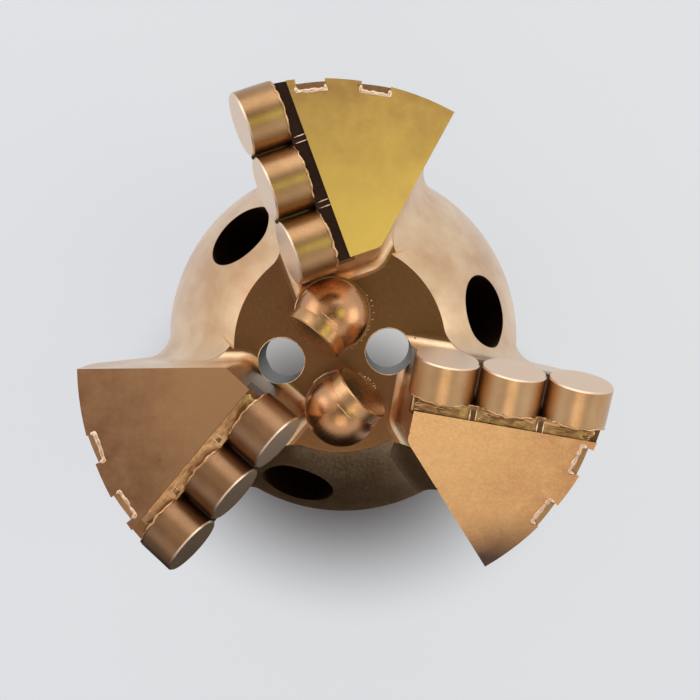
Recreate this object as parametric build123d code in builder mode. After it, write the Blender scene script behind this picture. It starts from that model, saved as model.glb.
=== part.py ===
from build123d import *
import math
import os

# Three-wing concave PDC drill bit, standing nose up on the end of its threaded pin.
# Z is the bit axis. The origin is the centre of the pin's end face.
# The bit turns counter-clockwise as seen from the nose, so each wing leads on its +Y side.

# Gauge and wings
gauge_diameter = 113.0
wing_count = 3
wing_span_angle = 48.8
wing_side_offset = 2.6
wing_front_offset = 2.9
wing_inner_reach = 17.2
wing_inner_draft = 6.0
wing_corner_radius = 2.6
land_slope = 14.0
land_edge_offset = 9.0
land_rise = 2.7
gauge_relief_front = 0.7
gauge_relief_rear = 2.1
gauge_length = 20.0
wing_rear_taper = 27.0
wing_root_fillet = 6.5
wing_foot_fillet = 3.0

# Heights, from the pin's end face up
pin_length = 40.0
shoulder_height = 12.0
flank_height = 46.0
recess_depth = 18.0

# Body of revolution
body_diameter = 84.4
face_diameter = 45.6
dome_top_radius = 16.0
recess_reach = 34.0
shoulder_chamfer = 2.0
bore_diameter = 48.0
crown_thickness = 24.5
bore_corner = 3.0

# Threaded pin: the plain root under the thread, with a relief groove at the shoulder
pin_diameter = 67.0
relief_width = 6.0
relief_depth = 1.2
pin_chamfer = 1.5

# Round PDC cutters on the wings
cutter_diameter = 13.44
cutter_length = 8.0
cutter_edge = 0.3
cutters_per_wing = 3
inner_cutter_radius = 22.2
cutter_pitch = 13.8
cutter_lead = 2.65
back_rake = 14.4
shelf_reach = 24.0
ledge_drop = 1.3
web_width = 1.3
web_height = 0.8

# Carbide inserts let into the gauge of each wing
insert_angles = (-14.3, -28.3)
insert_width = 6.0
insert_depth = 2.0
insert_length = 15.0
insert_drop = 0.8
insert_proud = 0.3

# Studs in the middle, each with one cutter across its domed head
stud_diameter = 15.4
stud_seat_clearance = 0.05
stud_depth = 13.0
stud_neck = 5.5
stud_groove_width = 0.5
stud_groove_depth = 1.2
stud_places = ((-2.65, 6.8, 239.0), (2.8, -12.9, 53.0))
stud_cutter_length = 4.8
stud_cutter_reach = 6.2
stud_cutter_height = 7.2
stud_back_rake = 14.5

# Water passages
water_diameter = 10.0
water_places = ((-11.9, -5.05), (10.5, 0.9))
nozzle_diameter = 16.6
nozzle_radius = 33.5
nozzle_angle = 22.6
nozzle_tilt = 38.0
nozzle_length = 30.0

# Sizes that follow from the ones above
wing_angles = [index * 360 / wing_count for index in range(wing_count)]
rim_height = pin_length + shoulder_height
face_height = rim_height + flank_height
cutter_height = face_height + recess_depth
bore_depth = face_height - crown_thickness
gauge_radius = gauge_diameter / 2
pin_radius = pin_diameter / 2
body_radius = body_diameter / 2
face_radius = face_diameter / 2
flank_step = body_radius - face_radius
flank_arc = (flank_step**2 + flank_height**2) / (2 * flank_step)
cutter_radius = cutter_diameter / 2
row_offsets = [index * cutter_pitch for index in range(cutters_per_wing)]
gauge_bottom = cutter_height - gauge_length
ledge_height = cutter_height + land_rise - ledge_drop
above_all = cutter_height + 30.0
reach_out = gauge_diameter


def polar(radius, angle):
    return (radius * math.cos(math.radians(angle)), radius * math.sin(math.radians(angle)))


def flank_point(radius):
    """Height of the flank's arc at a radius."""
    across = flank_arc - (body_radius - radius)
    return rim_height + math.sqrt(flank_arc**2 - across**2)


def land_height(y):
    """Height of a wing's sloping land at a distance ahead of its row line."""
    return cutter_height + land_rise + math.tan(math.radians(land_slope)) * (y + land_edge_offset)


def cutter_plane(angle, radius):
    """Face plane of a wing cutter: X runs out along the row, Z is the way that the face looks."""
    across = math.radians(angle)
    rake = math.radians(back_rake)
    along = (math.cos(across), math.sin(across))
    ahead = (-math.sin(across), math.cos(across))
    return Plane(
        origin=(
            radius * along[0] + cutter_lead * ahead[0],
            radius * along[1] + cutter_lead * ahead[1],
            cutter_height,
        ),
        x_dir=(along[0], along[1], 0),
        z_dir=(ahead[0] * math.cos(rake), ahead[1] * math.cos(rake), math.sin(rake)),
    )


def wing_profile(angle):
    """Upright plane across a wing at the axis: X is ahead, Y is up, Z runs out along the row."""
    return Plane(
        origin=(0, 0, 0),
        x_dir=(*polar(1, angle + 90), 0),
        z_dir=(*polar(1, angle), 0),
    )


def stud_cutter_plane(place):
    """Face plane of a stud's cutter: X is level, Z is the way that the face looks."""
    x, y, facing = place
    turn = math.radians(facing)
    rake = math.radians(stud_back_rake)
    return Plane(
        origin=(
            x + stud_cutter_reach * math.cos(turn),
            y + stud_cutter_reach * math.sin(turn),
            face_height + stud_cutter_height,
        ),
        x_dir=(-math.sin(turn), math.cos(turn), 0),
        z_dir=(math.cos(turn) * math.cos(rake), math.sin(turn) * math.cos(rake), math.sin(rake)),
    )


def nozzle_plane(angle):
    """Plane across a flank nozzle at its mouth, looking out along its bore."""
    tilt = math.radians(nozzle_tilt)
    x, y = polar(nozzle_radius, angle)
    out = polar(math.sin(tilt), angle)
    return Plane(
        origin=(x, y, flank_point(nozzle_radius)),
        z_dir=(out[0], out[1], math.cos(tilt)),
    )


def insert_plane_at(wing_angle, insert_angle):
    """Level plane at the foot of a gauge insert, with X out through the insert's middle."""
    low_side = polar(gauge_radius, insert_angle - math.degrees(insert_width / gauge_diameter))
    foot = land_height(low_side[1]) - insert_drop - insert_length
    return Plane(
        origin=(0, 0, foot),
        x_dir=(*polar(1, wing_angle + insert_angle), 0),
        z_dir=(0, 0, 1),
    )


# One wing, on +X, before its pockets and slots are cut
side_along = polar(1, -wing_span_angle)
side_across = polar(1, 90 - wing_span_angle)
gauge_front_radius = gauge_radius - gauge_relief_front
gauge_rear_radius = gauge_radius - gauge_relief_rear


def side_point(reach):
    """Point of the trailing side at a distance along it."""
    return (
        reach * side_along[0] + wing_side_offset * side_across[0],
        reach * side_along[1] + wing_side_offset * side_across[1],
    )


insert_seat_radius = gauge_rear_radius - insert_depth + insert_proud
front_corner = (math.sqrt(gauge_front_radius**2 - wing_front_offset**2), wing_front_offset)
rear_corner = side_point(math.sqrt(gauge_rear_radius**2 - wing_side_offset**2))
front_corner_angle = math.degrees(math.atan2(front_corner[1], front_corner[0]))
rear_corner_angle = math.degrees(math.atan2(rear_corner[1], rear_corner[0]))
gauge_middle = polar(
    (gauge_front_radius + gauge_rear_radius) / 2, (front_corner_angle + rear_corner_angle) / 2
)
inner_corner = side_point(
    (wing_inner_reach - wing_side_offset * side_across[0]) / side_along[0]
)

# Side view of a cutter's pocket: distance ahead of the row line, then height
rake_along = polar(1, back_rake)
pocket_wall_foot = (
    cutter_lead - cutter_length * rake_along[0],
    cutter_height - cutter_length * rake_along[1],
)
pocket_wall_top = (
    pocket_wall_foot[0] - (ledge_height - pocket_wall_foot[1]) * rake_along[1] / rake_along[0],
    ledge_height,
)
shelf_front = (
    pocket_wall_foot[0] + shelf_reach * rake_along[0],
    pocket_wall_foot[1] + shelf_reach * rake_along[1],
)
shelf_start = wing_inner_reach / 2

# Upright plane through the axis, midway between two wings, where revolved faces get their seam
section_angle = 180 / wing_count
body_section = Plane(
    origin=(0, 0, 0),
    x_dir=(*polar(1, section_angle), 0),
    z_dir=(*polar(1, section_angle - 90), 0),
)

with BuildPart() as wing_blank:
    with BuildSketch(Plane.XY.offset(rim_height - shoulder_height)):
        with BuildLine():
            Line((0, wing_front_offset), front_corner)
            ThreePointArc(front_corner, gauge_middle, rear_corner)
            Line(rear_corner, side_point(0))
            Line(side_point(0), (0, wing_front_offset))
        make_face()
    extrude(amount=above_all - rim_height)
    # Gauge, then the taper of the wing's back down to the body
    with BuildSketch(body_section):
        taper_drop = gauge_bottom - pin_length
        taper_in = taper_drop * math.tan(math.radians(wing_rear_taper))
        with BuildLine():
            Polyline(
                (0, pin_length),
                (gauge_front_radius - taper_in, pin_length),
                (gauge_front_radius, gauge_bottom),
                (gauge_diameter, gauge_bottom),
                (gauge_diameter, above_all),
                (0, above_all),
                close=True,
            )
        make_face()
    revolve(axis=Axis.Z, mode=Mode.INTERSECT)
    # Drafted inner end
    with BuildSketch(Plane.XZ):
        draft_slope = math.tan(math.radians(wing_inner_draft))
        end_low = wing_inner_reach - (cutter_height + land_rise - pin_length) * draft_slope
        end_high = wing_inner_reach + (above_all - cutter_height - land_rise) * draft_slope
        with BuildLine():
            Polyline(
                (-reach_out, pin_length),
                (end_low, pin_length),
                (end_high, above_all),
                (-reach_out, above_all),
                close=True,
            )
        make_face()
    extrude(amount=reach_out, both=True, mode=Mode.SUBTRACT)
    # Sloping land
    with BuildSketch(Plane.YZ):
        with BuildLine():
            Polyline(
                (-reach_out, land_height(-reach_out)),
                (reach_out, land_height(reach_out)),
                (reach_out, land_height(reach_out) + reach_out),
                (-reach_out, land_height(reach_out) + reach_out),
                close=True,
            )
        make_face()
    extrude(amount=reach_out, mode=Mode.SUBTRACT)


def round_edges(part, radius, height):
    """Circular edges of one radius and height about the bit's axis."""
    circles = part.edges().filter_by(GeomType.CIRCLE)
    return [
        edge
        for edge in circles
        if abs(edge.center().Z - height) < 0.01 and abs(edge.radius - radius) < 0.01
    ]


with BuildPart() as recess_tool:
    with BuildSketch(Plane.XY.offset(face_height)):
        Circle(recess_reach)
    extrude(amount=above_all - face_height)
    for wing_angle in wing_angles:
        add(wing_blank.part.rotate(Axis.Z, wing_angle), mode=Mode.SUBTRACT)
    corner_point = Vector(*inner_corner, cutter_height)
    corners = [
        recess_tool.edges().sort_by_distance(corner_point.rotate(Axis.Z, wing_angle))[0]
        for wing_angle in wing_angles
    ]
    fillet(corners, radius=wing_corner_radius)
    feet = [
        edge
        for edge in recess_tool.edges()
        if abs(edge.center().Z - face_height) < 0.01 and edge.length < recess_reach
    ]
    fillet(feet, radius=wing_foot_fillet)

insert_planes = [
    insert_plane_at(wing_angle, insert_angle)
    for wing_angle in wing_angles
    for insert_angle in insert_angles
]

with BuildPart() as crown_body:
    with BuildSketch(body_section):
        arc_start = (body_radius, rim_height)
        arc_end = (dome_top_radius, flank_point(dome_top_radius))
        arc_angle = math.degrees(math.asin((arc_end[1] - rim_height) / flank_arc))
        with BuildLine():
            Polyline(
                (0, 0),
                (pin_radius, 0),
                (pin_radius, pin_length),
                (body_radius, pin_length),
                arc_start,
            )
            CenterArc(
                center=(body_radius - flank_arc, rim_height),
                radius=flank_arc,
                start_angle=0,
                arc_size=arc_angle,
            )
            Polyline(arc_end, (0, arc_end[1]), (0, 0))
        make_face()
    revolve(axis=Axis.Z)
    for wing_angle in wing_angles:
        add(wing_blank.part.rotate(Axis.Z, wing_angle))
    wing_roots = [
        edge
        for edge in crown_body.edges().filter_by(GeomType.BSPLINE)
        if gauge_bottom - gauge_length < (edge @ 0.5).Z < face_height
    ]
    fillet(wing_roots, radius=wing_root_fillet)
    # Flat recess in the middle, milled down between the wings
    add(recess_tool.part, mode=Mode.SUBTRACT)
    # Shelf, ledge, saddles and webs of each wing
    for wing_angle in wing_angles:
        with BuildSketch(wing_profile(wing_angle).offset(shelf_start)):
            with BuildLine():
                Polyline(
                    (-land_edge_offset, above_all),
                    (-land_edge_offset, ledge_height),
                    pocket_wall_top,
                    pocket_wall_foot,
                    shelf_front,
                    (shelf_front[0], above_all),
                    close=True,
                )
            make_face()
        extrude(amount=gauge_radius - shelf_start, mode=Mode.SUBTRACT)
        for offset in row_offsets:
            with BuildSketch(cutter_plane(wing_angle, inner_cutter_radius + offset).offset(-cutter_length)):
                Circle(cutter_radius)
            extrude(amount=cutter_length + cutter_diameter, mode=Mode.SUBTRACT)
        for offset in row_offsets[1:]:
            web_middle = inner_cutter_radius + offset - cutter_pitch / 2
            with BuildSketch(wing_profile(wing_angle).offset(web_middle - web_width / 2)):
                with BuildLine():
                    Polyline(
                        (-land_edge_offset - web_height, ledge_height),
                        (-land_edge_offset - web_height, ledge_height + web_height),
                        (pocket_wall_top[0] - web_height, ledge_height + web_height),
                        pocket_wall_top,
                        close=True,
                    )
                make_face()
            extrude(amount=web_width)
    # Grooves for the gauge inserts
    for insert_plane in insert_planes:
        with BuildSketch(insert_plane):
            with Locations((gauge_radius, 0)):
                Rectangle(2 * (gauge_radius - insert_seat_radius), insert_width)
        extrude(amount=above_all - insert_plane.origin.Z, mode=Mode.SUBTRACT)
    # Stud holes, each with a shallow groove round its mouth for the braze
    with BuildSketch(Plane.XY.offset(face_height + stud_neck)):
        for x, y, facing in stud_places:
            with Locations((x, y)):
                Circle(stud_diameter / 2 + stud_seat_clearance)
    extrude(amount=-stud_depth - stud_neck, mode=Mode.SUBTRACT)
    with BuildSketch(Plane.XY.offset(face_height + wing_foot_fillet)):
        for x, y, facing in stud_places:
            with Locations((x, y)):
                Circle(stud_diameter / 2 + stud_groove_width)
    extrude(amount=-stud_groove_depth - wing_foot_fillet, mode=Mode.SUBTRACT)
    # Bore up the pin
    with BuildSketch(body_section):
        with BuildLine():
            Polyline(
                (0, 0),
                (bore_diameter / 2, 0),
                (bore_diameter / 2, bore_depth - bore_corner),
                (bore_diameter / 2 - bore_corner, bore_depth),
                (0, bore_depth),
                close=True,
            )
        make_face()
    revolve(axis=Axis.Z, mode=Mode.SUBTRACT)
    # Water holes from the recess into the bore, and a nozzle in each flank
    with BuildSketch(Plane.XY.offset(face_height + wing_foot_fillet)):
        with Locations(*water_places):
            Circle(water_diameter / 2)
    extrude(amount=-wing_foot_fillet - crown_thickness - bore_corner, mode=Mode.SUBTRACT)
    for wing_angle in wing_angles:
        with BuildSketch(nozzle_plane(wing_angle + nozzle_angle).offset(nozzle_diameter)):
            Circle(nozzle_diameter / 2)
        extrude(amount=-nozzle_diameter - nozzle_length, mode=Mode.SUBTRACT)
    # Relief groove between the pin and the shoulder
    with BuildSketch(body_section):
        with Locations((pin_radius, pin_length - relief_width / 2)):
            Rectangle(2 * relief_depth, relief_width)
    revolve(axis=Axis.Z, mode=Mode.SUBTRACT)
    chamfer(round_edges(crown_body, body_radius, pin_length), length=shoulder_chamfer)
    chamfer(round_edges(crown_body, pin_radius, 0), length=pin_chamfer)

crown_body.part.label = "crown_body"
os.makedirs("parts", exist_ok=True)
export_step(crown_body.part, "parts/crown_body.step")

# Wing cutters: round carbide discs with a diamond face, the outer one ground to gauge
for wing_index, wing_angle in enumerate(wing_angles):
    for cutter_index, offset in enumerate(row_offsets):
        face = cutter_plane(wing_angle, inner_cutter_radius + offset)
        with BuildPart() as wing_cutter:
            with BuildSketch(face):
                Circle(cutter_radius)
            extrude(amount=-cutter_length)
            chamfer(wing_cutter.faces().sort_by(Axis(face.origin, face.z_dir))[-1].edges(), length=cutter_edge)
            with BuildSketch(Plane.XY.offset(cutter_height - cutter_diameter)):
                Circle(gauge_radius)
            extrude(amount=2 * cutter_diameter, mode=Mode.INTERSECT)
        name = f"wing_{wing_index + 1}_cutter_{cutter_index + 1}"
        wing_cutter.part.label = name
        export_step(wing_cutter.part, f"parts/{name}.step")

# Gauge inserts: carbide bars with their outer face ground round
for index, insert_plane in enumerate(insert_planes):
    with BuildPart() as gauge_insert:
        with BuildSketch(insert_plane):
            with Locations((insert_seat_radius + insert_depth, 0)):
                Rectangle(2 * insert_depth, insert_width)
        extrude(amount=insert_length)
        with BuildSketch(Plane.XY.offset(insert_plane.origin.Z)):
            Circle(insert_seat_radius + insert_depth)
        extrude(amount=insert_length, mode=Mode.INTERSECT)
    name = f"wing_{index // len(insert_angles) + 1}_gauge_insert_{index % len(insert_angles) + 1}"
    gauge_insert.part.label = name
    export_step(gauge_insert.part, f"parts/{name}.step")

# Studs with domed heads, and the cutter brazed across each head
for index, place in enumerate(stud_places):
    face = stud_cutter_plane(place)
    stud_section = Plane(origin=(place[0], place[1], 0), x_dir=(1, 0, 0), z_dir=(0, -1, 0))
    with BuildPart() as centre_stud:
        with BuildSketch(stud_section):
            with BuildLine():
                Polyline(
                    (0, face_height + stud_neck + stud_diameter / 2),
                    (0, face_height - stud_depth),
                    (stud_diameter / 2, face_height - stud_depth),
                    (stud_diameter / 2, face_height + stud_neck),
                )
                CenterArc(
                    center=(0, face_height + stud_neck),
                    radius=stud_diameter / 2,
                    start_angle=0,
                    arc_size=90,
                )
            make_face()
        revolve(axis=Axis((place[0], place[1], 0), (0, 0, 1)))
        with BuildSketch(face.offset(-stud_cutter_length)):
            Circle(cutter_radius)
        extrude(amount=stud_cutter_length + stud_diameter, mode=Mode.SUBTRACT)
    name = f"centre_stud_{index + 1}"
    centre_stud.part.label = name
    export_step(centre_stud.part, f"parts/{name}.step")

    with BuildPart() as stud_cutter:
        with BuildSketch(face):
            Circle(cutter_radius)
        extrude(amount=-stud_cutter_length)
        chamfer(stud_cutter.faces().sort_by(Axis(face.origin, face.z_dir))[-1].edges(), length=cutter_edge)
    name = f"stud_cutter_{index + 1}"
    stud_cutter.part.label = name
    export_step(stud_cutter.part, f"parts/{name}.step")
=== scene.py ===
import math
import random

import bmesh
import bpy
from mathutils import Matrix, Vector, noise


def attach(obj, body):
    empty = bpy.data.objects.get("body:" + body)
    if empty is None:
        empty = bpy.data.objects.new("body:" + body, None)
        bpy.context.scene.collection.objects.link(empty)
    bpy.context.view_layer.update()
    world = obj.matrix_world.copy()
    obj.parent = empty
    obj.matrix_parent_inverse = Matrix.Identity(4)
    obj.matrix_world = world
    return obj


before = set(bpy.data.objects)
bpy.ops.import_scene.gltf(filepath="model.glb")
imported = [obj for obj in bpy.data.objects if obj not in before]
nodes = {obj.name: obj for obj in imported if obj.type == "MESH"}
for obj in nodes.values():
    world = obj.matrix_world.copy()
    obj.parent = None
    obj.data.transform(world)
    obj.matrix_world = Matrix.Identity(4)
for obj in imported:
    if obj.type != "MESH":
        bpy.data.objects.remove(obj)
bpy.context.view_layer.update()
print("frame loaded, nodes:", len(nodes))

# Sizes that the finishes and the new pieces share, in mm and degrees, as the solids have them
bit = {
    "wings": {"right": 0, "top": 120, "left": 240},
    "wingSector": (-58, 62),
    "faceHeight": 98,
    "cutterHeight": 116,
    "cutterRadius": 6.72,
    "cutterLength": 8,
    "cutterLead": 2.65,
    "backRake": 14.4,
    "rowRadii": (22.2, 36, 49.8),
    "ledgeHeight": 117.4,
    "landEdge": 9,
    "landRise": 2.7,
    "landSlope": 14,
    "gaugeRadius": 56.5,
    "insertAngles": (-14.3, -28.3),
    "insertWidth": 6,
    "studs": ((-2.65, 6.8, 239), (2.8, -12.9, 53)),
    "studRadius": 7.7,
    "studNeck": 5.5,
    "waterHoles": ((-11.9, -5.05), (10.5, 0.9)),
    "waterRadius": 5,
    "pinRadius": 33.5,
    "boreRadius": 24,
    "boreTop": 73.5,
}
slope = math.tan(math.radians(bit["landSlope"]))
draws = random.Random(11)
noise.seed_set(11)  # noise_vector starts from the clock otherwise


# Colours and nodes

def colour(hexCode):
    # sRGB to the linear values that a shader takes
    channels = [int(hexCode[i:i + 2], 16) / 255 for i in (1, 3, 5)]
    linear = [c / 12.92 if c <= 0.04045 else ((c + 0.055) / 1.055) ** 2.4 for c in channels]
    return (*linear, 1)


def addNode(tree, kind, settings=None, links=None, out=0):
    # settings are properties or input values, links are input sockets, out picks the output
    node = tree.nodes.new(kind)
    for key, value in (settings or {}).items():
        if isinstance(key, str) and hasattr(node, key):
            setattr(node, key, value)
        else:
            node.inputs[key].default_value = value
    for key, socket in (links or {}).items():
        tree.links.new(socket, node.inputs[key])
    return node.outputs[out] if node.outputs else node


def newMaterial(name):
    material = bpy.data.materials.new(name)
    material.use_nodes = True
    material.node_tree.nodes.clear()
    return material, material.node_tree


def between(tree, value, low, high, soft):
    # 1 inside low..high, fading to 0 over soft on both sides
    rise = addNode(tree, "ShaderNodeMapRange", {1: low - soft, 2: low}, {0: value})
    fall = addNode(tree, "ShaderNodeMapRange", {1: high, 2: high + soft, 3: 1, 4: 0}, {0: value})
    return addNode(tree, "ShaderNodeMath", {"operation": "MULTIPLY"}, {0: rise, 1: fall})


def allOf(tree, masks):
    # The masks multiplied together
    product = masks[0]
    for mask in masks[1:]:
        product = addNode(tree, "ShaderNodeMath", {"operation": "MULTIPLY"}, {0: product, 1: mask})
    return product


def tint(tree, mask, under, over):
    # One plain tone laid over another where the mask is
    return addNode(tree, "ShaderNodeMix", {"data_type": "RGBA", 7: colour(over)}, {0: mask, 6: under}, 2)


def wingCoordinates(tree):
    # Place in mm, and the same folded on to one wing: x out along its row, y ahead, z up
    place = addNode(tree, "ShaderNodeTexCoord", out="Object")
    inMm = addNode(tree, "ShaderNodeVectorMath", {"operation": "SCALE", "Scale": 1000}, {0: place})
    split = addNode(tree, "ShaderNodeSeparateXYZ", None, {0: inMm}).node.outputs
    flat = addNode(tree, "ShaderNodeVectorMath", {"operation": "MULTIPLY", 1: (1, 1, 0)}, {0: inMm})
    radius = addNode(tree, "ShaderNodeVectorMath", {"operation": "LENGTH"}, {0: flat}, "Value")
    turn = addNode(tree, "ShaderNodeMath", {"operation": "ARCTAN2"}, {0: split[1], 1: split[0]})
    behind, ahead = bit["wingSector"]
    folded = addNode(tree, "ShaderNodeMath",
                     {"operation": "WRAP", 1: math.radians(ahead), 2: math.radians(behind)}, {0: turn})
    cosine = addNode(tree, "ShaderNodeMath", {"operation": "COSINE"}, {0: folded})
    sine = addNode(tree, "ShaderNodeMath", {"operation": "SINE"}, {0: folded})
    x = addNode(tree, "ShaderNodeMath", {"operation": "MULTIPLY"}, {0: radius, 1: cosine})
    y = addNode(tree, "ShaderNodeMath", {"operation": "MULTIPLY"}, {0: radius, 1: sine})
    return {"inMm": inMm, "flat": flat, "turn": turn, "x": x, "y": y, "z": split[2], "radius": radius}


# Satin bronze lacquer sprayed over the whole bit: metal flakes under a thin clear coat, so it
# mirrors softly, pales where it is seen flat, and clouds a little from pass to pass of the gun
lacquer = {
    "light": "#f0d0a6",
    "deep": "#d5a678",
    "patchMm": 18,
    "patchRange": (0.52, 0.88),
    "streakMm": 5,
    "streakStretch": (1, 1, 0.25),
    "streakShare": 0.4,
    "grainMm": 0.5,  # the flakes are finer, drawn as coarse as they need to show
    "grainRange": (0.3, 0.7),
    "grainHeight": 0.008,
    "grainBump": 0.08,
    "roughness": 0.36,
    "roughSpread": (-0.05, 0.08),
    "coat": 0.6,
    "coatRoughness": 0.28,
}


def lacquerMaterial(name, light, deep, roughness, extra=None):
    material, tree = newMaterial(name)
    at = wingCoordinates(tree)
    patches = addNode(tree, "ShaderNodeTexNoise",
                      {"Scale": 1 / lacquer["patchMm"], "Detail": 5, "Roughness": 0.6},
                      {"Vector": at["inMm"]})
    streakPlace = addNode(tree, "ShaderNodeMapping",
                          {"Scale": lacquer["streakStretch"]}, {"Vector": at["inMm"]})
    streaks = addNode(tree, "ShaderNodeTexNoise",
                      {"Scale": 1 / lacquer["streakMm"], "Detail": 4}, {"Vector": streakPlace})
    grain = addNode(tree, "ShaderNodeTexNoise",
                    {"Scale": 1 / lacquer["grainMm"], "Detail": 2}, {"Vector": at["inMm"]})
    clouds = addNode(tree, "ShaderNodeMath",
                     {"operation": "MULTIPLY_ADD", 1: lacquer["streakShare"]}, {0: streaks, 2: patches})
    low, high = lacquer["patchRange"]
    patchTone = addNode(tree, "ShaderNodeMapRange", {1: low, 2: high}, {0: clouds})
    tone = addNode(tree, "ShaderNodeMix",
                   {"data_type": "RGBA", 6: colour(deep), 7: colour(light)}, {0: patchTone}, 2)
    low, high = lacquer["grainRange"]
    smoother, rougher = lacquer["roughSpread"]
    rough = addNode(tree, "ShaderNodeMapRange",
                    {1: low, 2: high, 3: roughness + smoother, 4: roughness + rougher}, {0: grain})
    height = addNode(tree, "ShaderNodeMath",
                     {"operation": "MULTIPLY", 1: lacquer["grainHeight"]}, {0: grain})
    if extra:
        tone, rough, height = extra(tree, at, tone, rough, height)
    bump = addNode(tree, "ShaderNodeBump",
                   {"Strength": lacquer["grainBump"], "Distance": 0.001}, {"Height": height})
    shader = addNode(tree, "ShaderNodeBsdfPrincipled",
                     {"Metallic": 1, "Coat Weight": lacquer["coat"],
                      "Coat Roughness": lacquer["coatRoughness"]},
                     {"Base Color": tone, "Roughness": rough, "Normal": bump})
    addNode(tree, "ShaderNodeOutputMaterial", None, {0: shader})
    return material


# Where the crown's colour differs, much of it painted light and shade: mm and degrees, but landHalfTurn in
# radians. A pair of numbers is a range, and a mask round an axis starts at nearAxis, below any distance
nearAxis = -1
crownFinish = {
    # painted light and shade: inner and outer tone of each wing's land, set per wing for how light falls on
    # it, then the painted shade of the shelf behind its cutters
    "landLightTones": {
        "right": ("#c89d69", "#b08051"),
        "top": ("#e0b26a", "#c08f58"),
        "left": ("#b3865a", "#8a5d3a"),
    },
    "landSkin": (-0.25, -0.1),
    "landMiddle": -24,
    "landHalfTurn": 0.9,
    "shelfShadeTones": {"right": "#7c5636", "top": "#4a3026", "left": "#94683f"},
    "shelf": {"x": (14, 60), "y": (-9.6, -4.6), "z": (112, 130)},
    "mottleMm": 6.25,
    "mottleOut": (20, 62),
    "mottleRange": (0.12, 0.5),
    "shadedTipWing": "right",
    "tipShadeTone": "#3d2417",
    "tip": {"radius": (52, 70), "y": (-60, -37)},
    "gapHalf": 1.6,
    "gap": {"y": (-5.6, 8), "z": (106, 122)},
    "speckMm": 2.2,
    "speckTone": "#7a5233",
    "speckSize": (0.16, 0.1),
    "speckWhereMottled": (0.6, 0.64),
    "dentDepth": 0.15,
    "recessFloorShade": "#95683f",
    "recessReach": 34,
    "millMarkMm": 1.776,
    "millMarkHeight": 0.05,
    "passageShade": "#3a2413",
    "nozzleRadius": 8.3,
    "nozzleTurn": 22.6,
    "nozzleTilt": 38,
    "nozzleMouth": (30.93, 12.87, 84.28),
    "nozzleDepths": (5, -4),
    "nozzleHeights": (40, 96),
    "boreStart": 2,
    "waterWall": "#39403f",
    "waterHeights": (70, 97.4),
    "wallSkin": 0.05,
    "insideRoughness": 0.65,
}


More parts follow.
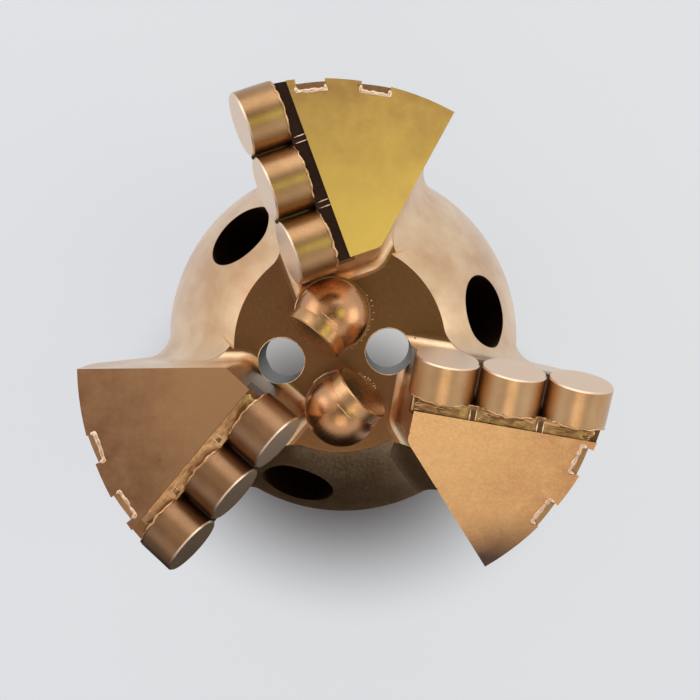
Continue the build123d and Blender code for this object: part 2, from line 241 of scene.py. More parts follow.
def crownExtra(tree, at, tone, rough, height):
    # Where the crown's colour differs: lands, shelves, recess floor, passages, mostly as painted light and
    # shade
    finish = crownFinish
    rise = bit["cutterHeight"] + bit["landRise"] + bit["landEdge"] * slope
    landTop = addNode(tree, "ShaderNodeMath", {"operation": "MULTIPLY_ADD", 1: slope, 2: rise}, {0: at["y"]})
    above = addNode(tree, "ShaderNodeMath", {"operation": "SUBTRACT"}, {0: at["z"], 1: landTop})
    below, atSkin = finish["landSkin"]
    land = addNode(tree, "ShaderNodeMapRange", {1: below, 2: atSkin}, {0: above})
    notLand = addNode(tree, "ShaderNodeMath", {"operation": "SUBTRACT", 0: 1.0}, {1: land})
    shelf = allOf(tree, [
        between(tree, at["y"], *finish["shelf"]["y"], 0.3),
        between(tree, at["z"], *finish["shelf"]["z"], 0.5),
        between(tree, at["x"], *finish["shelf"]["x"], 0.5),
        notLand,
    ])
    # Painted light and shade: the lands turn to their darker outer tone in noisy patches, more so towards
    # the gauge
    mottle = addNode(tree, "ShaderNodeTexNoise",
                     {"Scale": 1 / finish["mottleMm"], "Detail": 4, "Roughness": 0.65},
                     {"Vector": at["inMm"]})
    near, far = finish["mottleOut"]
    outward = addNode(tree, "ShaderNodeMapRange", {1: near, 2: far}, {0: at["radius"]})
    outward = addNode(tree, "ShaderNodeMath", {"operation": "MULTIPLY"}, {0: outward, 1: mottle})
    low, high = finish["mottleRange"]
    outward = addNode(tree, "ShaderNodeMapRange", {1: low, 2: high}, {0: outward})
    for wing, angle in bit["wings"].items():
        middle = math.radians(angle + finish["landMiddle"])
        turned = addNode(tree, "ShaderNodeMath", {"operation": "SUBTRACT", 1: middle}, {0: at["turn"]})
        turned = addNode(tree, "ShaderNodeMath", {"operation": "WRAP", 1: math.pi, 2: -math.pi}, {0: turned})
        own = between(tree, turned, -finish["landHalfTurn"], finish["landHalfTurn"], 0.05)
        inner, outer = finish["landLightTones"][wing]
        landLightTone = addNode(tree, "ShaderNodeMix",
                           {"data_type": "RGBA", 6: colour(inner), 7: colour(outer)}, {0: outward}, 2)
        tone = addNode(tree, "ShaderNodeMix", {"data_type": "RGBA"},
                       {0: allOf(tree, [land, own]), 6: tone, 7: landLightTone}, 2)
        # Painted shade: the shelf behind the cutters is darkened in each wing's own tone
        tone = tint(tree, allOf(tree, [shelf, own]), tone, finish["shelfShadeTones"][wing])
        if wing == finish["shadedTipWing"]:
            # Painted shade: the trailing tip of the land is painted dark brown
            tip = allOf(tree, [
                land,
                own,
                between(tree, at["radius"], *finish["tip"]["radius"], 10),
                between(tree, at["y"], *finish["tip"]["y"], 11),
            ])
            tone = tint(tree, tip, tone, finish["tipShadeTone"])
    # Painted shade in the deep gaps between neighbouring cutters
    for inner, outer in zip(bit["rowRadii"], bit["rowRadii"][1:]):
        middle = (inner + outer) / 2
        gap = allOf(tree, [
            between(tree, at["x"], middle - finish["gapHalf"], middle + finish["gapHalf"], 0.3),
            between(tree, at["y"], *finish["gap"]["y"], 0.2),
            between(tree, at["z"], *finish["gap"]["z"], 0.5),
        ])
        tone = tint(tree, gap, tone, finish["passageShade"])
    # Specks and dents of handling
    specks = addNode(tree, "ShaderNodeTexVoronoi", {"Scale": 1 / finish["speckMm"]}, {"Vector": at["inMm"]})
    outside, within = finish["speckSize"]
    speck = addNode(tree, "ShaderNodeMapRange", {1: outside, 2: within}, {0: specks})
    low, high = finish["speckWhereMottled"]
    rare = addNode(tree, "ShaderNodeMapRange", {1: low, 2: high}, {0: mottle})
    speck = allOf(tree, [speck, rare])
    tone = tint(tree, speck, tone, finish["speckTone"])
    dent = addNode(tree, "ShaderNodeMath", {"operation": "MULTIPLY", 1: -finish["dentDepth"]}, {0: speck})
    height = addNode(tree, "ShaderNodeMath", {"operation": "ADD"}, {0: height, 1: dent})
    # Milled floor of the recess, painted darker as shade, with the cutter's fine strokes: the wave texture
    # turns through
    # 20 radians in each unit of its scaled vector
    floor = allOf(tree, [
        between(tree, at["z"], bit["faceHeight"] - 0.05, bit["faceHeight"] + 0.1, 0.05),
        between(tree, at["radius"], nearAxis, finish["recessReach"], 0.5),
    ])
    strokes = addNode(tree, "ShaderNodeTexWave",
                      {"wave_type": "RINGS", "rings_direction": "Z", "Distortion": 2.5, "Detail": 3,
                       "Scale": math.tau / 20 / finish["millMarkMm"]}, {"Vector": at["inMm"]})
    tone = tint(tree, floor, tone, finish["recessFloorShade"])
    stroke = addNode(tree, "ShaderNodeMath",
                     {"operation": "MULTIPLY", 1: finish["millMarkHeight"]},
                     {0: allOf(tree, [strokes, floor])})
    height = addNode(tree, "ShaderNodeMath", {"operation": "ADD"}, {0: height, 1: stroke})
    # Painted shade inside the nozzle passages and the bore, deepening along each passage
    tilt = math.radians(finish["nozzleTilt"])
    turn = math.radians(finish["nozzleTurn"])
    axis = (math.sin(tilt) * math.cos(turn), math.sin(tilt) * math.sin(turn), math.cos(tilt))
    local = addNode(tree, "ShaderNodeCombineXYZ", None, {0: at["x"], 1: at["y"], 2: at["z"]})
    fromMouth = addNode(tree, "ShaderNodeVectorMath",
                        {"operation": "SUBTRACT", 1: finish["nozzleMouth"]}, {0: local})
    offAxis = addNode(tree, "ShaderNodeVectorMath", {"operation": "CROSS_PRODUCT", 1: axis}, {0: fromMouth})
    away = addNode(tree, "ShaderNodeVectorMath", {"operation": "LENGTH"}, {0: offAxis}, "Value")
    depth = addNode(tree, "ShaderNodeVectorMath",
                    {"operation": "DOT_PRODUCT", 1: axis}, {0: fromMouth}, "Value")
    outermost, fullyDark = finish["nozzleDepths"]
    passage = allOf(tree, [
        between(tree, away, nearAxis, finish["nozzleRadius"] + finish["wallSkin"], 0.1),
        addNode(tree, "ShaderNodeMapRange", {1: outermost, 2: fullyDark, 3: 0.35, 4: 1}, {0: depth}),
        between(tree, at["z"], *finish["nozzleHeights"], 1),
    ])
    bore = allOf(tree, [
        between(tree, at["radius"], nearAxis, bit["boreRadius"] + 0.1, 0.1),
        between(tree, at["z"], finish["boreStart"], bit["boreTop"] + 0.1, 4),
    ])
    inside = addNode(tree, "ShaderNodeMath", {"operation": "MAXIMUM"}, {0: passage, 1: bore})
    tone = tint(tree, inside, tone, finish["passageShade"])
    # Bare walls of the water holes
    for x, y in bit["waterHoles"]:
        away = addNode(tree, "ShaderNodeVectorMath",
                       {"operation": "DISTANCE", 1: (x, y, 0)}, {0: at["flat"]}, "Value")
        wall = allOf(tree, [
            between(tree, away, nearAxis, bit["waterRadius"] + finish["wallSkin"], 0.1),
            between(tree, at["z"], *finish["waterHeights"], 0.4),
        ])
        tone = tint(tree, wall, tone, finish["waterWall"])
        inside = addNode(tree, "ShaderNodeMath", {"operation": "MAXIMUM"}, {0: inside, 1: wall})
    rough = addNode(tree, "ShaderNodeMix",
                    {"data_type": "FLOAT", 3: finish["insideRoughness"]}, {0: inside, 2: rough})
    return tone, rough, height


cutterFinish = {
    # light and deep tone of each wing's discs, painted lighter or darker per wing for how light falls on
    # them, and where their faces begin, in mm off the face's plane
    "wingLightTones": {
        "wing_1": ("#cda374", "#bb8e5c"),
        "wing_2": ("#b98d5d", "#a1774a"),
        "wing_3": ("#9a7049", "#825a36"),
    },
    "face": "#eccdae",
    "faceSkin": (-0.4, -0.25),
    "roughness": 0.36,
}


def cutterExtra(tree, at, tone, rough, height):
    # The polished diamond face is painted paler than the disc behind it, a painted reflection
    rake = math.radians(bit["backRake"])
    facing = (0, math.cos(rake), math.sin(rake))
    local = addNode(tree, "ShaderNodeCombineXYZ", None, {0: at["x"], 1: at["y"], 2: at["z"]})
    depth = addNode(tree, "ShaderNodeVectorMath",
                    {"operation": "DOT_PRODUCT", 1: facing}, {0: local}, "Value")
    faceDepth = bit["cutterLead"] * facing[1] + bit["cutterHeight"] * facing[2]
    low, high = cutterFinish["faceSkin"]
    face = addNode(tree, "ShaderNodeMapRange", {1: faceDepth + low, 2: faceDepth + high}, {0: depth})
    return tint(tree, face, tone, cutterFinish["face"]), rough, height


# Milled steel keeps the coat's full clouds and streaks, and each passage is painted darker towards its
# bottom as shade
crownCoat = lacquerMaterial("satinBronzeLacquerOnMilledSteel", lacquer["light"], lacquer["deep"],
                            lacquer["roughness"], crownExtra)
# Ground carbide takes the coat evenly, so the discs read as clean drums with a paler end, a painted
# reflection; each wing's discs get their own tone, painted light and shade
cutterCoatsLitPerWing = {
    wing: lacquerMaterial("satinBronzeLacquerOnCarbideDiscs_" + wing, light, deep,
                          cutterFinish["roughness"], cutterExtra)
    for wing, (light, deep) in cutterFinish["wingLightTones"].items()
}
# Turned and ground pieces mirror most sharply, so the studs show the wings round them
studCoat = lacquerMaterial("satinBronzeLacquerOnTurnedStuds", "#cf9a69", "#b88052", 0.3)
studCutterCoat = lacquerMaterial("satinBronzeLacquerOnStudDiscs", "#cf9f6c", "#b5834f", 0.3)
# Braze flows and freezes in ripples, duller where it lies thick and bright on its ridges
fillCoat = lacquerMaterial("satinBronzeLacquerOnBrazeFill", "#d3a575", "#a97c51", 0.42)
brazeCoat = lacquerMaterial("satinBronzeLacquerOnSilverBraze", "#ddb383", "#a87a4c", 0.34)
lipCoat = lacquerMaterial("paleBrazeLip", "#f2d8c0", "#dcb08c", 0.42)
seamCoat = lacquerMaterial("polishedSeamLine", "#f4dcb8", "#dcb689", 0.3)
# Pressed carbide bars and the cut thread look as the body does, a shade browner
insertCoat = lacquerMaterial("satinBronzeLacquerOnGaugeInserts", "#d2a277", "#b98a5c", 0.36)
threadCoat = lacquerMaterial("satinBronzeLacquerOnCutThread", "#cda076", "#b3845a", 0.33)
for name, piece in nodes.items():
    if name == "crown_body":
        coat = crownCoat
    elif "gauge_insert" in name:
        coat = insertCoat
    elif name.startswith("centre_stud"):
        coat = studCoat
    elif name.startswith("stud_cutter"):
        coat = studCutterCoat
    else:
        coat = cutterCoatsLitPerWing[name[:6]]
    piece.data.materials.clear()
    piece.data.materials.append(coat)
print("lacquers made and given to the nodes")


# Places on the bit

def wingPlace(angle, x, y, z):
    # Point in mm out along a wing's row, ahead of it and up, given back in metres
    turned = Matrix.Rotation(math.radians(angle), 3, "Z") @ Vector((x, y, z))
    return turned / 1000


def landHeight(y):
    return bit["cutterHeight"] + bit["landRise"] + slope * (y + bit["landEdge"])


def addPiece(name, data, coat):
    data.materials.clear()
    data.materials.append(coat)
    piece = bpy.data.objects.new(name, data)
    bpy.context.collection.objects.link(piece)
    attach(piece, "root")
    return piece


# A bead wanders, swells and shrinks along its path and thins at its ends
bead = {"shakePerMetre": 900, "swellPerMetre": 1400, "swell": 0.55, "endWidth": 0.35, "endPoints": 3}


def beadPiece(name, beads, coat):
    # Beads of braze: each is points in metres, a radius in mm, and how much it wanders in mm
    curve = bpy.data.curves.new(name + "Path", "CURVE")
    curve.dimensions = "3D"
    curve.bevel_depth = 1
    curve.bevel_resolution = 2
    curve.use_fill_caps = True
    for points, radius, wander in beads:
        spline = curve.splines.new("POLY")
        spline.points.add(len(points) - 1)
        for index, point in enumerate(points):
            shake = noise.noise_vector(point * bead["shakePerMetre"]) * wander / 1000
            swell = 1 + bead["swell"] * noise.noise(point * bead["swellPerMetre"] + Vector((3, 7, 1)))
            fromEnd = min(index, len(points) - 1 - index)
            endFade = min(1, bead["endWidth"] + fromEnd / bead["endPoints"])
            spline.points[index].co = (*(point + shake), 1)
            spline.points[index].radius = radius / 1000 * swell * endFade
    maker = bpy.data.objects.new(name + "Maker", curve)
    bpy.context.collection.objects.link(maker)
    bpy.context.view_layer.update()
    mesh = bpy.data.meshes.new_from_object(maker.evaluated_get(bpy.context.evaluated_depsgraph_get()))
    bpy.data.objects.remove(maker)
    bpy.data.curves.remove(curve)
    for polygon in mesh.polygons:
        polygon.use_smooth = True
    mesh.name = name
    return addPiece(name, mesh, coat)


def steps(start, end, count):
    return [start.lerp(end, index / count) for index in range(count + 1)]


# Braze left round the cutters' rear rims, in ridges along the shelf and on the webs
rims = {
    "rimRadius": 0.24,
    "rimWander": 0.32,
    "rimSweep": 74,
    "rimSteps": 32,
    "gaugeClear": 0.3,
    "webRadius": 0.13,
    "webWander": 0.05,
    "webHalf": 0.62,
    "webTop": 0.8,
    "webBack": -9.3,
    "webFront": -6.6,
    # how many ridges run along each shelf, and how far they wander
    "ridges": {"right": (3, 0.5), "top": (0, 0), "left": (2, 0.5)},
    "ridgeRadius": 0.28,
    "ridgeFront": -7.2,
    "ridgePitch": 0.75,
    "ridgeSlant": 0.3,
    "ridgeRuns": 4,
    "runStart": 17.5,
    "runPitch": 9.2,
    "runLimit": 53.5,
}
rake = math.radians(bit["backRake"])
for wing, angle in bit["wings"].items():
    beads = []
    centreY = bit["cutterLead"] - bit["cutterLength"] * math.cos(rake)
    centreZ = bit["cutterHeight"] - bit["cutterLength"] * math.sin(rake)
    for rowRadius in bit["rowRadii"]:
        points = []
        for index in range(rims["rimSteps"] + 1):
            sweep = math.radians(-rims["rimSweep"] + 2 * rims["rimSweep"] * index / rims["rimSteps"])
            out = rowRadius + bit["cutterRadius"] * math.sin(sweep)
            up = bit["cutterRadius"] * math.cos(sweep)
            if math.hypot(out, centreY) < bit["gaugeRadius"] - rims["gaugeClear"]:
                y = centreY - up * math.sin(rake)
                z = centreZ + up * math.cos(rake)
                points.append(wingPlace(angle, out, y, z))
        beads.append((points, rims["rimRadius"], rims["rimWander"]))
    ridgeCount, ridgeWander = rims["ridges"][wing]
    for ridge in range(ridgeCount):
        back = rims["ridgeFront"] - rims["ridgePitch"] * ridge
        for piece in range(rims["ridgeRuns"]):
            start = rims["runStart"] + rims["runPitch"] * piece + draws.uniform(-1, 1)
            end = min(start + draws.uniform(6, 10), rims["runLimit"])
            lift = bit["ledgeHeight"] + draws.uniform(-0.05, 0.1)
            run = steps(wingPlace(angle, start, back, lift),
                        wingPlace(angle, end, back - rims["ridgeSlant"], lift), 22)
            beads.append((run, rims["ridgeRadius"] * draws.uniform(0.6, 1.1), ridgeWander))
    beadPiece(wing + "WingBraze", beads, brazeCoat)
    lines = []
    for inner, outer in zip(bit["rowRadii"], bit["rowRadii"][1:]):
        middle = (inner + outer) / 2
        top = bit["ledgeHeight"] + rims["webTop"]
        for side in (-rims["webHalf"], rims["webHalf"]):
            line = steps(wingPlace(angle, middle + side, rims["webBack"], top),
                         wingPlace(angle, middle + side, rims["webFront"], top), 6)
            lines.append((line, rims["webRadius"], rims["webWander"]))
    beadPiece(wing + "WebLines", lines, seamCoat)
print("braze beads and web lines laid")

# Braze filled up behind the cutters: nearly level with the land on the left wing, lower on the right
fills = {
    "left": {"depth": 1.15, "rough": 0.24, "start": 18, "end": 52.5},
    "right": {"depth": 0.5, "rough": 0.3, "start": 16.6, "end": 54.2},
}
fillShape = {"back": -9.1, "width": 3.2, "sunk": 0.1, "skirt": 2.5, "frontFall": 0.45, "endSlope": 12,
             "rippleAlong": 0.55, "rippleAcross": 1.3}
for wing, fill in fills.items():
    angle = bit["wings"][wing]
    mesh = bmesh.new()
    bmesh.ops.create_grid(mesh, x_segments=90, y_segments=12, size=0.5)
    length = fill["end"] - fill["start"]
    for vert in mesh.verts:
        along = vert.co.x + 0.5
        across = vert.co.y + 0.5
        x = fill["start"] + length * along
        y = fillShape["back"] + fillShape["width"] * across
        endFade = min(1, fillShape["endSlope"] * min(along, 1 - along))
        spot = Vector((x * fillShape["rippleAlong"], y * fillShape["rippleAcross"], 4 + angle))
        ripple = noise.fractal(spot, 0.7, 2.2, 4) * fill["rough"] * (0.3 + across)
        crest = fill["depth"] * (1 - fillShape["frontFall"] * across) * endFade + ripple
        vert.co = wingPlace(angle, x, y, bit["ledgeHeight"] - fillShape["sunk"] + crest)
    skirt = bmesh.ops.extrude_face_region(mesh, geom=mesh.faces[:])
    lowered = [item for item in skirt["geom"] if isinstance(item, bmesh.types.BMVert)]
    bmesh.ops.translate(mesh, vec=(0, 0, -fillShape["skirt"] / 1000), verts=lowered)
    bmesh.ops.recalc_face_normals(mesh, faces=mesh.faces[:])
    for face in mesh.faces:
        face.smooth = True
    data = bpy.data.meshes.new(wing + "WingBrazeFill")
    mesh.to_mesh(data)
    mesh.free()
    addPiece(wing + "WingBrazeFill", data, fillCoat)
print("braze fills laid")


# Pale lips of braze round the top ends of the gauge inserts
lips = {"radius": 0.5, "wander": 0.14, "inward": 3.65, "outward": 2.5, "lift": 0.25}
for wing, angle in bit["wings"].items():
    beads = []
    for insertAngle in bit["insertAngles"]:
        turn = math.radians(insertAngle)
        halfWidth = bit["insertWidth"] / 2
        outerReach = bit["gaugeRadius"] - lips["outward"]
        innerReach = bit["gaugeRadius"] - lips["inward"]
        corners = []
        for reach, aside in ((outerReach, -halfWidth), (innerReach, -halfWidth),
                             (innerReach, halfWidth), (outerReach, halfWidth)):
            x = reach * math.cos(turn) - aside * math.sin(turn)
            y = reach * math.sin(turn) + aside * math.cos(turn)
            corners.append(wingPlace(angle, x, y, landHeight(y) - lips["lift"]))
        first, second, third, last = corners
        run = steps(first, second, 4)[:-1] + steps(second, third, 14)[:-1] + steps(third, last, 4)
        beads.append((run, lips["radius"], lips["wander"]))
    beadPiece(wing + "InsertLips", beads, lipCoat)
print("insert lips laid")


def ringPlace(centreX, centreY, reach, degrees, lift):
    # Point in mm on a level ring just above the recess floor, given back in metres
    turn = math.radians(degrees)
    x = centreX + reach * math.cos(turn)
    y = centreY + reach * math.sin(turn)
    return Vector((x, y, bit["faceHeight"] + lift)) / 1000


# Braze dots and thin arcs round the studs, and the seam across each dome
studMarks = {
    "ring": 8.15,
    # where the dots and the arc run round each stud, in degrees
    "dots": ((-55, 40), (40, 75)),
    "arcs": ((150, 200), (95, 150)),
    "dotSteps": 10,
    "dotRadius": 0.2,
    "dotWander": 0.1,
    "dotLength": Vector((0.0004, 0.0002, 0)),
    "arcSteps": 24,
    "arcOut": 0.1,
    "arcRadius": 0.11,
    "arcWander": 0.08,
    "seamSteps": 12,
    "seamHalf": 17,
    "seamAhead": 0.1,
    "seamRadius": 0.1,
    "seamWander": 0.03,
}
for index, (x, y, facing) in enumerate(bit["studs"]):
    beads = []
    start, end = studMarks["dots"][index]
    for dot in range(studMarks["dotSteps"] + 1):
        degrees = start + (end - start) * dot / studMarks["dotSteps"] + draws.uniform(-2, 2)
        ring = studMarks["ring"] + draws.uniform(-0.15, 0.35)
        spot = ringPlace(x, y, ring, degrees, 0.02)
        run = steps(spot, spot + studMarks["dotLength"], 3)
        beads.append((run, studMarks["dotRadius"] * draws.uniform(0.6, 1.3), studMarks["dotWander"]))
    start, end = studMarks["arcs"][index]
    ring = studMarks["ring"] + studMarks["arcOut"]
    arc = []
    for step in range(studMarks["arcSteps"] + 1):
        degrees = start + (end - start) * step / studMarks["arcSteps"]
        arc.append(ringPlace(x, y, ring, degrees, 0.03))
    beads.append((arc, studMarks["arcRadius"], studMarks["arcWander"]))
    seam = []
    domeCentre = Vector((x, y, bit["faceHeight"] + bit["studNeck"])) / 1000
    across = Matrix.Rotation(math.radians(facing + 90), 3, "Z") @ Vector((1, 0, 0))
    ahead = Matrix.Rotation(math.radians(facing), 3, "Z") @ Vector((1, 0, 0)) * studMarks["seamAhead"]
    for step in range(studMarks["seamSteps"] + 1):
        lean = math.radians(studMarks["seamHalf"] * (2 * step / studMarks["seamSteps"] - 1))
        direction = Vector((0, 0, 1)) * math.cos(lean) + across * math.sin(lean) + ahead
        seam.append(domeCentre + direction.normalized() * (bit["studRadius"] + 0.01) / 1000)
    beads.append((seam, studMarks["seamRadius"], studMarks["seamWander"]))
    beadPiece(f"studMarks{index + 1}", beads, seamCoat)

# Thin bright lips at the mouths of the water holes
mouth = {"steps": 64, "out": 0.06, "radius": 0.12, "wander": 0.03}
rimBeads = []
for x, y in bit["waterHoles"]:
    circle = []
    for step in range(mouth["steps"] + 1):
        circle.append(ringPlace(x, y, bit["waterRadius"] + mouth["out"], 360 * step / mouth["steps"], 0.02))
    rimBeads.append((circle, mouth["radius"], mouth["wander"]))
beadPiece("waterHoleLips", rimBeads, seamCoat)
print("stud and water hole marks laid")


# Thread on the pin: a flat-crested ridge wound round it, taller towards the shoulder
thread = {
    "pitch": 5.08,
    "start": 2.2,
    "end": 32.4,
    "crestLow": 1.2,
    "crestHigh": 2.7,
    "footWidth": 3.6,
    "crestWidth": 1.2,
    "sunk": 0.3,
    "fadeLength": 3,
    "fadeFrom": 1,
    "fadeLeast": 0.05,
    "stepsPerTurn": 72,
}
mesh = bmesh.new()
# The crest starts at any height over the pin, and the loop below sets its real one
halfFoot = thread["footWidth"] / 2
halfCrest = thread["crestWidth"] / 2
profile = [(-thread["sunk"], -halfFoot), (1, -halfCrest), (1, halfCrest), (-thread["sunk"], halfFoot)]
verts = [mesh.verts.new((bit["pinRadius"] + out, 0, thread["start"] + rise)) for out, rise in profile]
face = mesh.faces.new(verts)
threadLength = thread["end"] - thread["start"]
turns = threadLength / thread["pitch"]
stepCount = round(turns * thread["stepsPerTurn"])
bmesh.ops.spin(mesh, geom=[face, *face.edges, *face.verts], cent=(0, 0, 0), axis=(0, 0, 1),
               dvec=(0, 0, thread["pitch"] * turns / stepCount), angle=turns * 2 * math.pi,
               steps=stepCount, use_merge=False, use_duplicate=False)
for vert in mesh.verts:
    radius = math.hypot(vert.co.x, vert.co.y)
    if radius > bit["pinRadius"]:
        # A crest vertex: the crest grows towards the shoulder and fades out at both ends
        fromStart = vert.co.z - thread["start"]
        fromEnd = thread["end"] - vert.co.z
        climbed = min(1, max(0, fromStart / threadLength))
        fade = min(1, (min(fromStart, fromEnd) + thread["fadeFrom"]) / thread["fadeLength"])
        crest = thread["crestLow"] + (thread["crestHigh"] - thread["crestLow"]) * climbed
        scale = (bit["pinRadius"] + crest * max(thread["fadeLeast"], fade)) / radius
        vert.co.x *= scale
        vert.co.y *= scale
bmesh.ops.scale(mesh, vec=(0.001, 0.001, 0.001), verts=mesh.verts[:])
bmesh.ops.recalc_face_normals(mesh, faces=mesh.faces[:])
data = bpy.data.meshes.new("pinThread")
mesh.to_mesh(data)
mesh.free()
addPiece("pinThread", data, threadCoat)
print("thread wound")


# Floor, lamps, world and camera

studio = {
    "floorSize": 12,
    "floorColour": "#e3e5e9",
    "glowShare": 0.7,
    "glowReach": (0.030, 0.033),
    "nearSideShadeReflection": "#150d08",
    "edgeHalfTurn": 0.62,
    "edgeRange": (-6, -0.035),
    "shade": "#2a1b10",
    "shadePlace": (0.003, -0.031, 0),
    "shadeReach": (0.052, 0.042, 1),
    "shadeFade": (0.3, 1.3),
    "shadeStrength": 0.93,
    "lamps": {
        # place and size in metres, power in watts, colour
        "keyOverhead": ((-0.10, 0.70, 0.50), (1.0, 0.6), 1.8, "#ffffff"),
        "goldCardRight": ((0.30, 0.12, 0.66), (0.24, 0.24), 0.28, "#e9ff7a"),
        "fillFront": ((0.04, -0.28, 0.62), (0.34, 0.34), 0.5, "#fff0da"),
        "cardLeft": ((-0.25, 0.14, 0.63), (0.26, 0.26), 0.12, "#ffe6cc"),
        "fillLeft": ((-0.7, 0.10, 0.35), (0.5, 0.5), 0.9, "#fbfcff"),
        "fillRight": ((0.75, 0.10, 0.35), (0.5, 0.5), 1.2, "#fbfcff"),
    },
    "target": (0, 0, 0.1),
}
bpy.ops.mesh.primitive_plane_add(size=studio["floorSize"], location=(0, 0, 0))
floor = bpy.context.object
floor.name = "studioFloor"
floorMaterial, tree = newMaterial("whitePaperSweep")
rays = addNode(tree, "ShaderNodeLightPath").node.outputs
seen = addNode(tree, "ShaderNodeMath", {"operation": "MAXIMUM"},
               {0: rays["Is Glossy Ray"], 1: rays["Is Transmission Ray"]})
seen = addNode(tree, "ShaderNodeMath", {"operation": "MAXIMUM"}, {0: rays["Is Camera Ray"], 1: seen})
# Painted light: the floor glows full white under the bore, and a little less beyond it, where the paper
# takes shadow too
place = addNode(tree, "ShaderNodeTexCoord", out="Object")
away = addNode(tree, "ShaderNodeVectorMath", {"operation": "LENGTH"}, {0: place}, "Value")
boreEnd, paperStart = studio["glowReach"]
lit = addNode(tree, "ShaderNodeMapRange",
              {1: boreEnd, 2: paperStart, 3: 1, 4: studio["glowShare"]}, {0: away})
glowTone = addNode(tree, "ShaderNodeMapRange", {1: boreEnd, 2: paperStart, 3: 1, 4: 0}, {0: away})
paperWhite = colour(studio["floorColour"])
tone = addNode(tree, "ShaderNodeMix",
               {"data_type": "RGBA", 6: paperWhite, 7: colour("#ffffff")}, {0: glowTone}, 2)
glowPart = addNode(tree, "ShaderNodeMath", {"operation": "MULTIPLY"}, {0: seen, 1: lit})
# Painted reflection: a dark stretch of floor beyond the bit's near side, which reflections alone show, so
# the near flank mirrors shade
spread = addNode(tree, "ShaderNodeSeparateXYZ", None, {0: place}).node.outputs
ahead = addNode(tree, "ShaderNodeMath", {"operation": "MULTIPLY", 1: -1.0}, {0: spread[1]})
sector = addNode(tree, "ShaderNodeMath", {"operation": "ARCTAN2"}, {0: spread[0], 1: ahead})
nearSideShadeReflection = allOf(tree, [
    between(tree, sector, -studio["edgeHalfTurn"], studio["edgeHalfTurn"], 0.3),
    between(tree, spread[1], *studio["edgeRange"], 0.015),
    rays["Is Glossy Ray"],
])
glowPart = addNode(tree, "ShaderNodeMath", {"operation": "MAXIMUM"}, {0: glowPart, 1: nearSideShadeReflection})
# Soft brown shade painted under the bit's near side
offset = addNode(tree, "ShaderNodeVectorMath",
                 {"operation": "SUBTRACT", 1: studio["shadePlace"]}, {0: place})
offset = addNode(tree, "ShaderNodeVectorMath",
                 {"operation": "DIVIDE", 1: studio["shadeReach"]}, {0: offset})
offset = addNode(tree, "ShaderNodeVectorMath", {"operation": "LENGTH"}, {0: offset}, "Value")
core, rim = studio["shadeFade"]
shade = addNode(tree, "ShaderNodeMapRange",
                {"interpolation_type": "SMOOTHSTEP", 1: core, 2: rim, 3: studio["shadeStrength"], 4: 0},
                {0: offset})
paperTone = addNode(tree, "ShaderNodeMix",
                    {"data_type": "RGBA", 6: paperWhite, 7: colour(studio["shade"])}, {0: shade}, 2)
tone = tint(tree, shade, tone, studio["shade"])
tone = tint(tree, nearSideShadeReflection, tone, studio["nearSideShadeReflection"])
paper = addNode(tree, "ShaderNodeBsdfDiffuse", None, {"Color": paperTone})
glow = addNode(tree, "ShaderNodeEmission", {"Strength": 1}, {"Color": tone})
mixed = addNode(tree, "ShaderNodeMixShader", None, {0: glowPart, 1: paper, 2: glow})
addNode(tree, "ShaderNodeOutputMaterial", None, {0: mixed})
floor.data.materials.append(floorMaterial)

for name, (lampPlace, size, power, lampColour) in studio["lamps"].items():
    lamp = bpy.data.lights.new(name, "AREA")
    lamp.shape = "RECTANGLE"
    lamp.size, lamp.size_y = size
    lamp.energy = power
    lamp.color = colour(lampColour)[:3]
    lampHolder = bpy.data.objects.new(name, lamp)
    lampHolder.location = lampPlace
    aim = Vector(studio["target"]) - Vector(lampPlace)
    lampHolder.rotation_euler = aim.to_track_quat("-Z", "Y").to_euler()
    bpy.context.collection.objects.link(lampHolder)

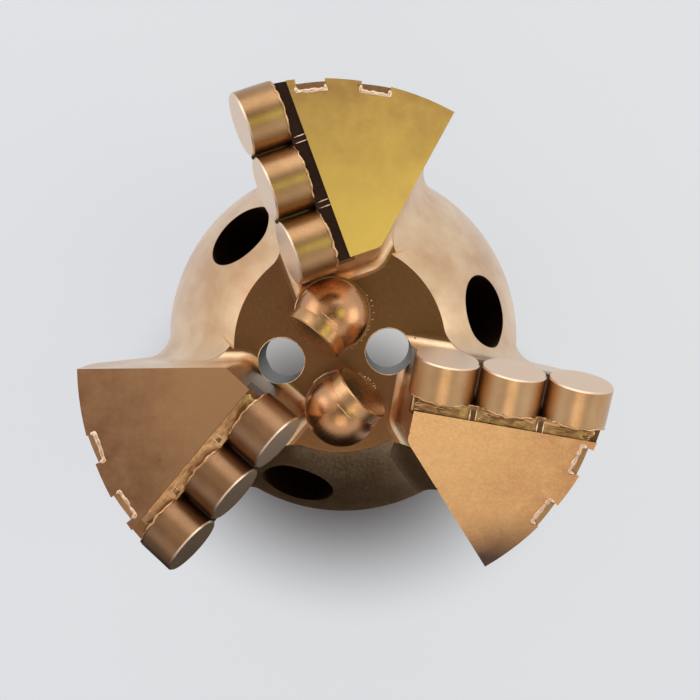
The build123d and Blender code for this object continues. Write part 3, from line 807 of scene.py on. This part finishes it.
# World: a pale tent, dark straight above and dim low down on the near side
tent = {
    "horizon": 1.0,
    "overhead": 0.11,
    "overheadFrom": (0.55, 0.95),
    "nearSide": 0.06,
    "nearSideTo": (-0.8, 0.1),
    "nearSideTop": (0.1, 0.45),
    "seen": 0.78,
    "colour": "#f4f6fb",
}
world = bpy.data.worlds.new("lightTent")
bpy.context.scene.world = world
world.use_nodes = True
tree = world.node_tree
tree.nodes.clear()
direction = addNode(tree, "ShaderNodeTexCoord", out="Generated")
sides = addNode(tree, "ShaderNodeSeparateXYZ", None, {0: direction}).node.outputs
low, high = tent["overheadFrom"]
up = addNode(tree, "ShaderNodeMapRange",
             {1: low, 2: high, 3: tent["horizon"], 4: tent["overhead"]}, {0: sides[2]})
low, high = tent["nearSideTo"]
side = addNode(tree, "ShaderNodeMapRange", {1: low, 2: high, 3: tent["nearSide"], 4: 1}, {0: sides[1]})
low, high = tent["nearSideTop"]
raised = addNode(tree, "ShaderNodeMapRange", {1: low, 2: high}, {0: sides[2]})
side = addNode(tree, "ShaderNodeMix", {"data_type": "FLOAT", 3: 1.0}, {0: raised, 2: side})
strength = addNode(tree, "ShaderNodeMath", {"operation": "MULTIPLY"}, {0: up, 1: side})
direct = addNode(tree, "ShaderNodeLightPath", out="Is Camera Ray")
strength = addNode(tree, "ShaderNodeMix", {"data_type": "FLOAT", 3: tent["seen"]}, {0: direct, 2: strength})
sky = addNode(tree, "ShaderNodeBackground", {"Color": colour(tent["colour"])}, {"Strength": strength})
addNode(tree, "ShaderNodeOutputWorld", None, {0: sky})

camera = {
    "place": (0.00337, 0.0180, 0.42077),
    "tilts": (0.055, -0.013, -0.172),  # radians about X, Y and Z, from the bit to the camera
    "lens": 77.14,
    "sensorWidth": 36,
    "nearLimit": 0.01,
}
eye = bpy.data.cameras.new("camera")
eye.lens = camera["lens"]
eye.sensor_width = camera["sensorWidth"]
eye.clip_start = camera["nearLimit"]
cameraHolder = bpy.data.objects.new("camera", eye)
turnX, turnY, turnZ = camera["tilts"]
toCamera = Matrix.Rotation(turnX, 3, "X") @ Matrix.Rotation(turnY, 3, "Y") @ Matrix.Rotation(turnZ, 3, "Z")
cameraHolder.matrix_world = Matrix.Translation(camera["place"]) @ toCamera.transposed().to_4x4()
bpy.context.collection.objects.link(cameraHolder)
bpy.context.scene.camera = cameraHolder
bpy.context.scene.view_settings.view_transform = "Standard"
print("floor, lamps and camera set")
